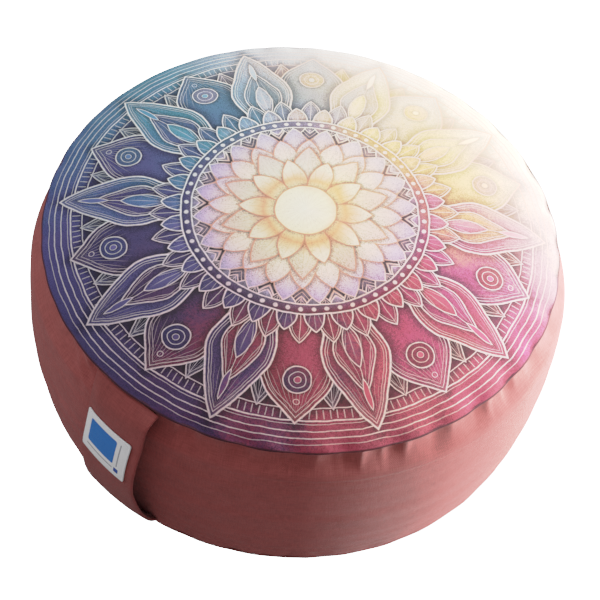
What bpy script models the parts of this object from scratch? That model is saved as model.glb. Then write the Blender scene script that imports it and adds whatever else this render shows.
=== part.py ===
"""A round meditation cushion: a filled side band, a round top, a round base, a carry strap and its label.

Metres, +Z up. The origin is the centre of the base, and the carry strap faces -Y.
"""
import math
from collections import namedtuple

import bmesh
import bpy
from mathutils import Vector

# Driving dimensions
SEAM_RADIUS = 0.170
BASE_SEAM_RADIUS = 0.1735
TOP_SEAM_HEIGHT = 0.150
BASE_SEAM_HEIGHT = 0.0055
CROWN_RISE = 0.017
REST_RADIUS = 0.155
CLOTH_THICKNESS = 0.0015
GAP = 0.0003
SHARP_ANGLE = math.radians(50.0)

# The crown falls away slowly in the middle and steeply at its rim
CROWN_FLATNESS = 2.4
CROWN_RIM = 0.75
CROWN_ROWS = 7
ROW_CROWDING = 1.8

# The filled outline and the sewn-in fullness of the side band. Angles are about the upright axis
TURN_STEPS = 150
MERGE_DISTANCE = 0.00001
GATHERS = 35
GATHER_START = 1.81
EVEN_SIDE = -0.68
GATHER_DEPTH = 0.0028
SCALLOP = 0.0008
WIDE_SIDE = 0.48
WIDE_BY = 0.0030
LUMP = 0.0008
ROUND_DROP = 0.030
RIM_POWER = 8

# The carry strap and its label
STRAP_WIDTH = 0.0495
STRAP_THICKNESS = 0.0020
STRAP_CELLS_ACROSS = 8
STRAP_CELLS_ALONG = 48
LABEL_WIDTH = 0.0400
LABEL_HEIGHT = 0.0328
LABEL_THICKNESS = 0.001
LABEL_GAP = 0.0004
LABEL_SHIFT = -0.0018
LABEL_START = 0.0283
LABEL_CELLS = 10

# The side band from the top seam to the base seam. drop is measured down from the top seam, out is
# measured outwards from the seam's radius, and gather is the share of the gathers' depth
SideRow = namedtuple("SideRow", "drop out gather")
SIDE_ROWS = (
    SideRow(0.0024, -0.0010, 0.25),
    SideRow(0.0050, 0.0003, 0.90),
    SideRow(0.0085, 0.0027, 1.00),
    SideRow(0.0120, 0.0050, 0.55),
    SideRow(0.0155, 0.0059, 0.15),
    SideRow(0.0240, 0.0071, 0.05),
    SideRow(0.0380, 0.0085, 0.00),
    SideRow(0.0560, 0.0097, 0.00),
    SideRow(0.0760, 0.0101, 0.00),
    SideRow(0.0960, 0.0096, 0.00),
    SideRow(0.1140, 0.0083, 0.00),
    SideRow(0.1270, 0.0068, 0.15),
    SideRow(0.1340, 0.0059, 0.60),
    SideRow(0.1390, 0.0046, 1.00),
    SideRow(0.1428, 0.0030, 0.40),
)

# The rim of the base. rise is measured up from the ground, radius is the outer face's
BaseRow = namedtuple("BaseRow", "radius rise")
BASE_ROWS = (
    BaseRow(BASE_SEAM_RADIUS, BASE_SEAM_HEIGHT),
    BaseRow(0.1705, 0.0028),
    BaseRow(0.1640, 0.0008),
    BaseRow(REST_RADIUS, 0.0),
    BaseRow(0.0, 0.0),
)

# The outer face of the strap's two edges, from the top seam to the base seam, as seen from outside
StrapRow = namedtuple("StrapRow", "left_out left_drop right_out right_drop")
STRAP_ROWS = (
    StrapRow(0.0008, 0.0012, 0.0010, 0.0009),
    StrapRow(0.0034, 0.0050, 0.0060, 0.0020),
    StrapRow(0.0068, 0.0110, 0.0116, 0.0050),
    StrapRow(0.0095, 0.0185, 0.0144, 0.0120),
    StrapRow(0.0112, 0.0295, 0.0178, 0.0230),
    StrapRow(0.0146, 0.0425, 0.0224, 0.0350),
    StrapRow(0.0184, 0.0560, 0.0260, 0.0500),
    StrapRow(0.0204, 0.0710, 0.0268, 0.0650),
    StrapRow(0.0203, 0.0860, 0.0243, 0.0810),
    StrapRow(0.0186, 0.1010, 0.0206, 0.0985),
    StrapRow(0.0156, 0.1140, 0.0162, 0.1135),
    StrapRow(0.0122, 0.1250, 0.0122, 0.1240),
    StrapRow(0.0090, 0.1335, 0.0092, 0.1325),
    StrapRow(0.0070, 0.1390, 0.0074, 0.1375),
    StrapRow(0.0058, 0.1428, 0.0060, 0.1410),
)
STRAP_SAMPLES = 480

# The hollows that the strap pulls into the cloth beside its two ends, deepest at x and drop
Pull = namedtuple("Pull", "x drop reach_x reach_drop depth")
PULLS = (
    Pull(-0.030, 0.016, 0.010, 0.012, 0.0026),
    Pull(0.012, 0.146, 0.018, 0.020, 0.0044),
)

ROSE_COTTON = (0.50, 0.16, 0.16)
PRINTED_CLOTH = (0.42, 0.22, 0.40)
LABEL_WHITE = (0.85, 0.86, 0.88)
COTTON_ROUGHNESS = 0.9
PRINT_ROUGHNESS = 0.85
LABEL_ROUGHNESS = 0.6


def clear_scene():
    """Remove whatever the scene holds."""
    for item in list(bpy.data.objects):
        bpy.data.objects.remove(item, do_unlink=True)


def new_collection(name):
    """A collection in the scene for the cushion's pieces."""
    collection = bpy.data.collections.new(name)
    bpy.context.scene.collection.children.link(collection)
    return collection


def cloth_material(name, colour, roughness):
    """A matte cloth of one colour."""
    material = bpy.data.materials.new(name)
    material.use_nodes = True
    shader = material.node_tree.nodes["Principled BSDF"]
    shader.inputs["Base Color"].default_value = (*colour, 1.0)
    shader.inputs["Roughness"].default_value = roughness
    shader.inputs["Metallic"].default_value = 0.0
    return material


def add_object(name, mesh, material, collection):
    """An object that wears one material, in the given collection."""
    piece = bpy.data.objects.new(name, mesh)
    piece.data.materials.append(material)
    collection.objects.link(piece)
    return piece


def crown_profile():
    """Radius and height of the top's outer face, from the axis to the top seam."""
    points = []
    for row in range(CROWN_ROWS + 1):
        share = 1.0 - (1.0 - row / CROWN_ROWS) ** ROW_CROWDING
        rise = CROWN_RISE * (1.0 - share**CROWN_FLATNESS) ** CROWN_RIM
        points.append(Vector((SEAM_RADIUS * share, TOP_SEAM_HEIGHT + rise)))
    return points


def base_profile():
    """Radius and height of the base's outer face, from the base seam to the axis."""
    return [Vector((row.radius, row.rise)) for row in BASE_ROWS]


def inset(profile, distance):
    """The profile moved inwards by the distance, square to its own line."""
    last = len(profile) - 1
    moved = []
    for index, point in enumerate(profile):
        line = profile[min(index + 1, last)] - profile[max(index - 1, 0)]
        outwards = Vector((-line.y, line.x)).normalized()
        if point.x == 0.0:
            outwards = Vector((0.0, math.copysign(1.0, outwards.y)))
        moved.append(point - distance * outwards)
    return moved


def gather(angle):
    """How far the cloth is gathered in at this angle, from 0 to 1, unevenly spaced and unevenly deep."""
    uneven = 1.0 - math.cos(angle - EVEN_SIDE)
    wander = 0.8 * math.sin(3.0 * angle + 0.4) + 0.6 * math.sin(7.0 * angle + 1.9)
    phase = GATHERS * angle + GATHER_START + uneven * wander
    fold = (0.5 + 0.5 * math.cos(phase)) ** 1.5
    strength = 0.62 + 0.26 * math.cos(angle + 0.2) + 0.12 * math.sin(5.0 * angle + 2.0)
    return fold * strength


def gather_share(drop):
    """The share of the gathers' depth at this distance below the top seam, read from the side's rows."""
    if drop <= 0.0:
        return 0.0
    before = SideRow(0.0, 0.0, 0.0)
    for row in SIDE_ROWS:
        if drop <= row.drop:
            along = (drop - before.drop) / (row.drop - before.drop)
            return before.gather + along * (row.gather - before.gather)
        before = row
    return 0.0


def pulled_in(x, drop):
    """How far the strap pulls the cloth inwards at this place on its side of the cushion."""
    depth = 0.0
    for pull in PULLS:
        beside = (x - pull.x) / pull.reach_x
        below = (drop - pull.drop) / pull.reach_drop
        depth += pull.depth * math.exp(-(beside**4) - below**2)
    return depth


def out_of_round(angle, drop):
    """How far the filled side stands outside a true circle. The sewn ring at the top stays round."""
    share = min(max(drop / ROUND_DROP, 0.0), 1.0)
    eased = share * share * (3.0 - 2.0 * share)
    return eased * (WIDE_BY * math.cos(2.0 * (angle - WIDE_SIDE)) + LUMP * math.sin(3.0 * angle + 0.8))


def settle(point):
    """Where a point of the turned shape goes once the cloth is gathered, pulled and filled."""
    radius = math.hypot(point.x, point.y)
    if radius < GAP:
        return point
    angle = math.atan2(point.y, point.x)
    drop = TOP_SEAM_HEIGHT - point.z
    share = radius / SEAM_RADIUS
    rim_share = min(share, 1.0) ** RIM_POWER
    shift = out_of_round(angle, drop) * rim_share
    shift += SCALLOP * (0.5 - gather(angle)) * rim_share
    shift -= GATHER_DEPTH * gather(angle) * gather_share(drop)
    if point.y < 0.0 and drop > 0.0:
        shift -= pulled_in(point.x, drop) * rim_share
    scale = (radius + shift) / radius
    return Vector((point.x * scale, point.y * scale, point.z))


def turned(name, profile, material, collection):
    """A piece turned from its profile about the upright axis, then settled as cloth."""
    outline = bpy.data.meshes.new(name + "_outline")
    points = [(point.x, 0.0, point.y) for point in profile]
    edges = [(index, index + 1) for index in range(len(points) - 1)]
    outline.from_pydata(points, edges, [])
    lathe = bpy.data.objects.new(name + "_lathe", outline)
    collection.objects.link(lathe)
    screw = lathe.modifiers.new("Turn", "SCREW")
    screw.axis = "Z"
    screw.angle = 2.0 * math.pi
    screw.steps = TURN_STEPS
    screw.render_steps = TURN_STEPS
    screw.use_merge_vertices = True
    screw.merge_threshold = MERGE_DISTANCE

    depsgraph = bpy.context.evaluated_depsgraph_get()
    mesh = bpy.data.meshes.new_from_object(lathe.evaluated_get(depsgraph))
    bpy.data.objects.remove(lathe, do_unlink=True)
    mesh.name = name
    for vertex in mesh.vertices:
        vertex.co = settle(vertex.co)
    mesh.shade_smooth()
    mesh.set_sharp_from_angle(angle=SHARP_ANGLE)
    return add_object(name, mesh, material, collection)


def body_profile():
    """The filled body: under the top, down the side band and over the base."""
    depth = CLOTH_THICKNESS + GAP
    side = [Vector((SEAM_RADIUS + row.out, TOP_SEAM_HEIGHT - row.drop)) for row in SIDE_ROWS]
    return inset(crown_profile(), depth) + side + inset(base_profile(), depth)


def panel_profile(outer_face, starts_outside):
    """A sheet of cloth under its outer face, as one closed line from the axis to the axis."""
    inner_face = inset(outer_face, CLOTH_THICKNESS)
    if starts_outside:
        return list(reversed(inner_face)) + outer_face
    return outer_face + list(reversed(inner_face))


def smooth_step(before, start, end, after, share):
    """A value on the smooth curve from start to end, which also minds the values either side."""
    turn = 3.0 * (start - end) + after - before
    bend = 2.0 * before - 5.0 * start + 4.0 * end - after
    return start + 0.5 * share * (end - before + share * (bend + share * turn))


def strap_row(along):
    """The strap's two edges at a place along it, from 0 at the top seam to 1 at the base seam."""
    last = len(STRAP_ROWS) - 1
    place = min(max(along, 0.0), 1.0) * last
    index = min(int(place), last - 1)
    share = place - index
    rows = [STRAP_ROWS[min(max(index + step, 0), last)] for step in (-1, 0, 1, 2)]
    return StrapRow(*(smooth_step(*values, share) for values in zip(*rows)))


def strap_point(across, along):
    """A point of the strap's outer face. across is the distance from its middle line."""
    row = strap_row(along)
    share = 0.5 + across / STRAP_WIDTH
    out = row.left_out + share * (row.right_out - row.left_out)
    drop = row.left_drop + share * (row.right_drop - row.left_drop)
    chord = math.sqrt(SEAM_RADIUS**2 - across**2)
    return Vector((across, pulled_in(across, drop) - chord - out, TOP_SEAM_HEIGHT - drop))


def strap_lengths():
    """The cloth's length from the top seam to each sample of the strap's middle line."""
    lengths = [0.0]
    before = strap_point(0.0, 0.0)
    for sample in range(1, STRAP_SAMPLES + 1):
        point = strap_point(0.0, sample / STRAP_SAMPLES)
        lengths.append(lengths[-1] + (point - before).length)
        before = point
    return lengths


def along_at(length, lengths):
    """The place along the strap, from 0 to 1, at a cloth length from the top seam."""
    for sample in range(1, STRAP_SAMPLES + 1):
        if length <= lengths[sample]:
            step = lengths[sample] - lengths[sample - 1]
            share = (length - lengths[sample - 1]) / step
            return (sample - 1 + share) / STRAP_SAMPLES
    return 1.0


def strap_normal(across, along):
    """The direction that the strap's outer face looks in."""
    step = 0.001
    sideways = strap_point(across + step, along) - strap_point(across - step, along)
    upwards = strap_point(across, along - step) - strap_point(across, along + step)
    return sideways.cross(upwards).normalized()


def band_mesh(name, cells, across_range, length_range, lift):
    """A flat piece of cloth laid along the strap's outer face, lifted off it by the given distance."""
    lengths = strap_lengths()
    form = bmesh.new()
    bmesh.ops.create_grid(form, x_segments=cells[0], y_segments=cells[1], size=1.0)
    for vertex in form.verts:
        share_across = 0.5 + 0.5 * vertex.co.x
        share_down = 0.5 - 0.5 * vertex.co.y
        across = across_range[0] + share_across * (across_range[1] - across_range[0])
        length = length_range[0] + share_down * (length_range[1] - length_range[0])
        along = along_at(length, lengths)
        vertex.co = strap_point(across, along) + lift * strap_normal(across, along)
    mesh = bpy.data.meshes.new(name)
    form.to_mesh(mesh)
    form.free()
    mesh.shade_smooth()
    mesh.set_sharp_from_angle(angle=SHARP_ANGLE)
    return mesh


def thicken(piece, thickness, offset):
    """Give a sheet its thickness. offset -1 grows it behind its face, and 1 in front."""
    solidify = piece.modifiers.new("Thickness", "SOLIDIFY")
    solidify.thickness = thickness
    solidify.offset = offset


def build_body(collection):
    """The filled side band, one solid."""
    material = cloth_material("rose_cotton", ROSE_COTTON, COTTON_ROUGHNESS)
    return turned("cushion_body", body_profile(), material, collection)


def build_top(collection):
    """The round printed top."""
    material = cloth_material("printed_cloth", PRINTED_CLOTH, PRINT_ROUGHNESS)
    return turned("top_panel", panel_profile(crown_profile(), False), material, collection)


def build_base(collection):
    """The round plain base, flat where it rests."""
    material = cloth_material("base_cotton", ROSE_COTTON, COTTON_ROUGHNESS)
    return turned("bottom_panel", panel_profile(base_profile(), True), material, collection)


def build_strap(collection):
    """The carry strap, from seam to seam."""
    half = 0.5 * STRAP_WIDTH
    cells = (STRAP_CELLS_ACROSS, STRAP_CELLS_ALONG)
    mesh = band_mesh("carry_strap", cells, (-half, half), (0.0, strap_lengths()[-1]), 0.0)
    material = cloth_material("strap_cotton", ROSE_COTTON, COTTON_ROUGHNESS)
    strap = add_object("carry_strap", mesh, material, collection)
    thicken(strap, STRAP_THICKNESS, -1.0)
    return strap


def build_label(collection):
    """The woven label on the strap."""
    across_range = (LABEL_SHIFT - 0.5 * LABEL_WIDTH, LABEL_SHIFT + 0.5 * LABEL_WIDTH)
    length_range = (LABEL_START, LABEL_START + LABEL_HEIGHT)
    mesh = band_mesh("label", (LABEL_CELLS, LABEL_CELLS), across_range, length_range, LABEL_GAP)
    material = cloth_material("label_tape", LABEL_WHITE, LABEL_ROUGHNESS)
    label = add_object("label", mesh, material, collection)
    thicken(label, LABEL_THICKNESS, 1.0)
    return label


def main():
    """Build every piece of the cushion."""
    clear_scene()
    collection = new_collection("meditation_cushion")
    build_body(collection)
    build_top(collection)
    build_base(collection)
    build_strap(collection)
    build_label(collection)


main()
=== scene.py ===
"""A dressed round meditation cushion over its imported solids, on a pale floor in soft studio light."""

import math

import bpy
import numpy as np
from mathutils import Matrix, Vector


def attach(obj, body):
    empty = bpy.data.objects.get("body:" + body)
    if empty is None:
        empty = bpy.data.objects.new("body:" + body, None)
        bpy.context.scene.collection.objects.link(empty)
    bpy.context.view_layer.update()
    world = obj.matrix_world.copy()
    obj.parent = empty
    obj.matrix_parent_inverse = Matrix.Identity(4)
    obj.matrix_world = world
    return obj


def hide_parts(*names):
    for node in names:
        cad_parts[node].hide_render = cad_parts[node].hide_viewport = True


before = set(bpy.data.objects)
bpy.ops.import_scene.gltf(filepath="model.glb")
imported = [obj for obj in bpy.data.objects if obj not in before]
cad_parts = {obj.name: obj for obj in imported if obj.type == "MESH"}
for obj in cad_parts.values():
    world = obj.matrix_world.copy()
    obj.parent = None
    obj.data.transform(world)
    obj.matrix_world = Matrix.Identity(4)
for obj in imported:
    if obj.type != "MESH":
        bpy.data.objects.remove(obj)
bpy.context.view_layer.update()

# ---- sizes, in metres
SEAM_RADIUS = 0.170
BASE_SEAM_RADIUS = 0.1735
SEAM_HEIGHT = 0.150
BASE_SEAM_HEIGHT = 0.0055
CROWN_RISE = 0.017
CLOTH = 0.0015
GAP = 0.0003
GATHERS = 35
STRAP_WIDTH = 0.0495
STRAP_THICKNESS = 0.0020
LABEL_WIDTH = 0.0400
LABEL_HEIGHT = 0.0328
# where the label starts along the strap, and how far it sits off the strap's middle line
LABEL_START = 0.0283
LABEL_SHIFT = -0.0018
# the label's face and back, off the strap's face
LABEL_FACE = 0.00105
LABEL_BACK = 0.00042

# how far low relief stands out or in, and the base seam's share of the scallops
SCALLOP = 0.0008
BASE_SHARE = 0.4
GATHER_DEPTH = 0.0016
PUCKER = 0.0012
SIDE_CREASES = (0.00042, 0.00018)
RIPPLE = 0.00052
SIDE_LUMPS = (0.00028, 0.00010)
RIM_DIPS = (0.0011, 0.0004)
TOP_CREASE = 0.00022
TOP_LUMP = 0.00035

# points round a turned piece
STEPS = 720

# drop below the top seam, out from the seam's radius, share of the gathers
SIDE = np.array([
    (0.0000, -0.0016, 0.10),
    (0.0020, -0.0026, 0.35),
    (0.0060, -0.0030, 0.90),
    (0.0110, -0.0020, 1.00),
    (0.0160, 0.0004, 0.70),
    (0.0200, 0.0034, 0.35),
    (0.0222, 0.0054, 0.15),
    (0.0240, 0.0064, 0.06),
    (0.0264, 0.0070, 0.02),
    (0.0300, 0.0075, 0.01),
    (0.0380, 0.0085, 0.00),
    (0.0560, 0.0097, 0.00),
    (0.0760, 0.0101, 0.00),
    (0.0960, 0.0096, 0.00),
    (0.1140, 0.0083, 0.00),
    (0.1270, 0.0069, 0.03),
    (0.1340, 0.0060, 0.09),
    (0.1390, 0.0048, 0.14),
    (0.1428, 0.0032, 0.07),
])
SIDE_DROP = SIDE[-1, 0]

# the strap's two edges: left out, left drop, right out, right drop
STRAP = np.array([
    (0.0008, 0.0012, 0.0010, 0.0009),
    (0.0034, 0.0050, 0.0060, 0.0020),
    (0.0068, 0.0110, 0.0116, 0.0050),
    (0.0095, 0.0185, 0.0144, 0.0120),
    (0.0112, 0.0295, 0.0178, 0.0230),
    (0.0146, 0.0425, 0.0224, 0.0350),
    (0.0184, 0.0560, 0.0260, 0.0500),
    (0.0204, 0.0710, 0.0268, 0.0650),
    (0.0203, 0.0860, 0.0243, 0.0810),
    (0.0186, 0.1010, 0.0206, 0.0985),
    (0.0156, 0.1140, 0.0162, 0.1130),
    (0.0124, 0.1250, 0.0122, 0.1228),
    (0.0096, 0.1330, 0.0088, 0.1288),
    (0.0078, 0.1380, 0.0062, 0.1322),
    (0.0062, 0.1412, 0.0040, 0.1344),
])

# hollows that the strap pulls into the cloth: x, drop, reach in x, reach in drop, depth
PULLS = ((-0.030, 0.016, 0.010, 0.012, 0.0026), (0.002, 0.146, 0.017, 0.020, 0.0008))

# creases beside the strap: x and drop at one end and at the other, width, height
CREASES = (
    (-0.060, 0.004, -0.030, 0.026, 0.0022, 0.0007),
    (-0.046, 0.003, -0.029, 0.020, 0.0018, 0.0006),
    (0.040, 0.008, 0.030, 0.045, 0.0030, 0.0006),
    (0.036, 0.150, 0.050, 0.118, 0.0035, -0.0007),
)

# the base cloth's outer face: radius, and height over the ground
BASE_RADII = (0.155, 0.164, 0.1705, BASE_SEAM_RADIUS)
BASE_RISES = (0.0, 0.0008, 0.0028, BASE_SEAM_HEIGHT)

# how far the photograph's camera stands round from the strap
VIEW_TURN = math.radians(32.5)
# the direction from which a painted glare pales and warms the print, standing in for the window light
# washing it out
PAINTED_GLARE_TURN = VIEW_TURN + math.radians(53)


# ---- numbers
def curve_through(table, column, at):
    """Smooth values of one column of a table at the places given along its first column."""
    x, y = table[:, 0], table[:, column]
    h = np.diff(x)
    delta = np.diff(y) / h
    slope = np.zeros_like(y)
    same = delta[:-1] * delta[1:] > 0
    w1 = 2 * h[1:] + h[:-1]
    w2 = h[1:] + 2 * h[:-1]
    with np.errstate(divide="ignore", invalid="ignore"):
        inner = (w1 + w2) / (w1 / delta[:-1] + w2 / delta[1:])
    slope[1:-1] = np.where(same, inner, 0.0)
    slope[0], slope[-1] = delta[0], delta[-1]
    at = np.clip(at, x[0], x[-1])
    i = np.clip(np.searchsorted(x, at) - 1, 0, len(h) - 1)
    t = (at - x[i]) / h[i]
    a = (1 + 2 * t) * (1 - t) ** 2
    b = t * (1 - t) ** 2
    c = t * t * (3 - 2 * t)
    d = t * t * (t - 1)
    return a * y[i] + b * h[i] * slope[i] + c * y[i + 1] + d * h[i] * slope[i + 1]


def eased(value, low, high):
    """0 below low, 1 above high, smooth between. low may be the greater."""
    t = np.clip((value - low) / (high - low), 0.0, 1.0)
    return t * t * (3 - 2 * t)


def hump(value, middle, width):
    """1 at the middle, and smoothly less to both sides."""
    return np.exp(-(((value - middle) / width) ** 2))


def totals(steps):
    """Running totals that start from 0."""
    return np.concatenate([[0.0], np.cumsum(steps)])


def uneven(rows, reach_rows, reach_steps, seed, steps=STEPS):
    """A smooth random field that closes round its steps. Reaches are in cells; its spread is 1."""
    rng = np.random.default_rng(seed)
    pad = int(3 * reach_rows) + 2
    noise = rng.standard_normal((rows + 2 * pad, steps))
    fr = np.fft.fftfreq(rows + 2 * pad)[:, None] * reach_rows
    fs = np.fft.fftfreq(steps)[None, :] * reach_steps
    field = np.fft.ifft2(np.fft.fft2(noise) * np.exp(-2 * (math.pi**2) * (fr**2 + fs**2))).real
    field = field[pad : pad + rows]
    return (field - field.mean()) / field.std()


def gather(angle):
    """How far the cloth is gathered in at an angle, 0 to 1, as the solids have it."""
    side = 1.0 - np.cos(angle + 0.68)
    wander = 0.8 * np.sin(3.0 * angle + 0.4) + 0.6 * np.sin(7.0 * angle + 1.9)
    fold = (0.5 + 0.5 * np.cos(GATHERS * angle + 1.81 + side * wander)) ** 1.5
    strength = 0.62 + 0.26 * np.cos(angle + 0.2) + 0.12 * np.sin(5.0 * angle + 2.0)
    return fold * strength


def pucker(angle):
    """How far the small puckers stand up under the top seam, between the gathers, 0 to about 1."""
    wander = 1.3 * np.sin(4.0 * angle + 1.1) + 1.1 * np.sin(9.0 * angle + 0.3)
    crest = (0.5 + 0.5 * np.cos(2 * GATHERS * (angle + 0.887) + wander)) ** 1.9
    toward = np.cos(angle + 0.95)
    strength = 0.32 + 0.55 * eased(toward, 0.35, 0.9) + 0.30 * np.sin(11.0 * angle + 2.6)
    return crest * np.clip(strength, 0.10, 1.15)


def pulled_in(x, drop):
    """How far the strap pulls the cloth inwards at a place on its side."""
    depth = np.zeros(np.broadcast(x, drop).shape)
    for at_x, at_drop, reach_x, reach_drop, most in PULLS:
        beside = (x - at_x) / reach_x
        below = (drop - at_drop) / reach_drop
        depth = depth + most * np.exp(-(beside**4) - below**2)
    return depth


def out_of_round(angle, drop):
    """How far the filled side stands outside a true circle."""
    shape = 0.0030 * np.cos(2.0 * (angle - 0.48)) + 0.0008 * np.sin(3.0 * angle + 0.8)
    return eased(drop, 0.0, 0.030) * shape


# ---- meshes
def placed(name, data):
    """A new object in the scene."""
    thing = bpy.data.objects.new(name, data)
    bpy.context.scene.collection.objects.link(thing)
    return thing


def add_mesh(name, points, faces, uvs):
    """A smooth object from points and faces, with one UV pair for each face corner."""
    mesh = bpy.data.meshes.new(name)
    mesh.from_pydata([tuple(p) for p in points], [], [tuple(f) for f in faces])
    layer = mesh.uv_layers.new(name="cloth")
    layer.data.foreach_set("uv", np.asarray(uvs, dtype=np.float32).ravel())
    mesh.update()
    mesh.shade_smooth()
    return placed(name, mesh)


def ring_faces(rings, steps):
    """Quads between rings of points that close round, and their (ring, step) corners."""
    r = np.arange(rings - 1)[:, None]
    s = np.arange(steps)[None, :]
    nxt = (s + 1) % steps
    a = r * steps + s
    b = r * steps + nxt
    c = (r + 1) * steps + nxt
    d = (r + 1) * steps + s
    quads = np.stack(np.broadcast_arrays(a, d, c, b), -1).reshape(-1, 4)
    u0 = np.broadcast_to(s, a.shape)
    v0 = np.broadcast_to(r, a.shape)
    at = ((u0, v0), (u0, v0 + 1), (u0 + 1, v0 + 1), (u0 + 1, v0))
    corners = np.stack([np.stack(pair, -1) for pair in at], -2)
    return quads, corners.reshape(-1, 4, 2)


def turned_form(name, rings, uv_of):
    """A closed form from rings of points (rows, steps, 3), each end closed on its middle point."""
    rows, steps, _ = rings.shape
    points = np.vstack([rings.reshape(-1, 3), rings[0].mean(0), rings[-1].mean(0)])
    quads, corners = ring_faces(rows, steps)
    faces = [tuple(q) for q in quads]
    uvs = [uv_of(corners[..., 1], corners[..., 0]).reshape(-1, 2)]
    i_top, i_end = rows * steps, rows * steps + 1
    s = np.arange(steps)
    n = (s + 1) % steps
    faces += [(i_top, int(a), int(b)) for a, b in zip(s, n)]
    last = (rows - 1) * steps
    faces += [(i_end, int(last + b), int(last + a)) for a, b in zip(s, n)]
    for row, order in ((0.0, (0, 0, 1)), (rows - 1.0, (0, 1, 0))):
        ends = [uv_of(np.full(steps, row), s + k) for k in order]
        uvs.append(np.stack(ends, 1).reshape(-1, 2))
    return add_mesh(name, points, faces, np.vstack(uvs))


ANGLES = np.arange(STEPS) * (2 * math.pi / STEPS)


def crown_height(share):
    """The outer face's height over the ground at a share of the seam's radius."""
    return SEAM_HEIGHT + CROWN_RISE * np.clip(1.0 - share**2.4, 0.0, 1.0) ** 0.75


def on_ring(radius, height):
    """Points at radius and height (rows, steps) about the upright axis."""
    x = radius * np.cos(ANGLES)
    return np.stack([x, radius * np.sin(ANGLES), height + 0 * x], -1)


# ---- the filled side
def side_rings():
    """Rings of the side cloth, from the top seam to the base seam, with its puckers and ripples."""
    # the rows lie closest under the seams, where the puckers are
    under_top, middle_rows = np.linspace(0.0, 0.030, 50), np.linspace(0.032, 0.124, 48)
    drops = np.concatenate([under_top, middle_rows, np.linspace(0.1255, SIDE_DROP, 24)])
    rows = len(drops)
    drop = drops[:, None]
    angle = ANGLES[None, :]
    out = curve_through(SIDE, 1, drops)[:, None]
    share = curve_through(SIDE, 2, drops)[:, None]
    folds = gather(angle)
    x = SEAM_RADIUS * np.cos(angle)
    near_strap = (np.sin(angle) < 0) * 1.0
    at_seams = eased(drop, 0.030, 0.006) + BASE_SHARE * eased(drop, 0.112, 0.138)
    shift = out_of_round(angle, drop) + SCALLOP * (0.5 - folds) * at_seams
    shift = shift - GATHER_DEPTH * folds * share
    shift = shift - near_strap * pulled_in(x, drop)

    # small puckers stand in the valley between the top seam and the ridge below it
    crests = pucker(angle)
    valley = eased(drop, 0.0, 0.004) * eased(drop, 0.0238 - 0.006 * (1.0 - crests), 0.0070)
    shift = shift + PUCKER * crests * valley

    # finer creases run down from the top seam and up from the base seam
    fine = uneven(rows, 16, 2.6, 11)
    finer = uneven(rows, 10, 1.5, 12)
    patches = eased(uneven(rows, 40, 26, 13), -0.6, 1.0)
    top_end = hump(drop, 0.0, 0.011) * eased(drop, 0.0, 0.002)
    base_end = hump(drop, SIDE_DROP, 0.012)
    creases = SIDE_CREASES[0] * fine + SIDE_CREASES[1] * finer
    shift = shift + (top_end * patches + 0.6 * base_end) * creases

    # faint ripples lie along the band, and the filling shows through as soft lumps
    middle = eased(drop, 0.016, 0.040) * eased(drop, 0.142, 0.118)
    ripple = uneven(rows, 1.5, 46, 14)
    where = 0.4 + 0.6 * eased(uneven(rows, 14, 60, 15), -0.5, 1.2)
    lumps = uneven(rows, 9, 24, 16)
    small = uneven(rows, 4, 9, 18)
    filling = SIDE_LUMPS[0] * lumps + SIDE_LUMPS[1] * small
    shift = shift + middle * (RIPPLE * ripple * where + filling)

    # long shallow creases lean away from the strap's upper corner
    shift = shift + strap_creases(angle, drop)
    radius = SEAM_RADIUS + out + shift
    return on_ring(radius, SEAM_HEIGHT - drop), drops


def strap_creases(angle, drop):
    """Shallow folds that the strap's pull draws into the cloth beside it."""
    along = (angle + math.pi / 2 + math.pi) % (2 * math.pi) - math.pi
    x = along * SEAM_RADIUS
    lift = np.zeros(np.broadcast(x, drop).shape)
    for x0, drop0, x1, drop1, width, height in CREASES:
        dx, dd = x1 - x0, drop1 - drop0
        length = math.hypot(dx, dd)
        t = ((x - x0) * dx + (drop - drop0) * dd) / length**2
        across = ((x - x0) * dd - (drop - drop0) * dx) / length
        ends = eased(t, -0.15, 0.25) * eased(t, 1.2, 0.8)
        lift = lift + height * ends * hump(across, 0.0, width)
    return lift


def build_side():
    """The filled side, closed just under the printed top and just over the base cloth."""
    side, drops = side_rings()
    crown_share = np.array([0.02, 0.25, 0.5, 0.7, 0.85, 0.93, 0.965])
    crown_z = crown_height(crown_share) - CLOTH - 2 * GAP
    crown = on_ring((crown_share * SEAM_RADIUS)[:, None], crown_z[:, None])
    floor_r = np.array([0.1712, 0.1685, 0.162, 0.150, 0.10, 0.004])
    floor_z = np.array([0.0072, 0.0050, 0.0030, 0.0022, 0.0022, 0.0022])
    # the rings under the base seam follow the side's last ring, less and less inwards
    side_end = np.hypot(side[-1, :, 0], side[-1, :, 1])
    follow = 0.7 * (side_end - 0.1730) * (floor_r / floor_r[0])[:, None] ** 6
    under = on_ring(floor_r[:, None] + follow, floor_z[:, None])
    rings = np.concatenate([crown, side, under])
    crown_lengths = np.linspace(-0.17, -0.004, len(crown_share))
    under_lengths = 0.146 + np.linspace(0.0, 0.17, len(floor_r))
    lengths = np.concatenate([crown_lengths, drops, under_lengths])

    def uv_of(row, step):
        whole = np.clip(row.astype(int), 0, len(lengths) - 1)
        return np.stack([step / STEPS, lengths[whole]], -1)

    return turned_form("filled_side", rings, uv_of)


# ---- the printed top and the base
def round_uv(shares):
    """What gives a round sheet its UVs, from each row's share of the flat radius."""

    def uv_of(row, step):
        whole = np.clip(row.astype(int), 0, len(shares) - 1)
        turn = step * (2 * math.pi / STEPS)
        r = shares[whole] * 0.5
        return np.stack([0.5 + r * np.cos(turn), 0.5 + r * np.sin(turn)], -1)

    return uv_of


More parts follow.
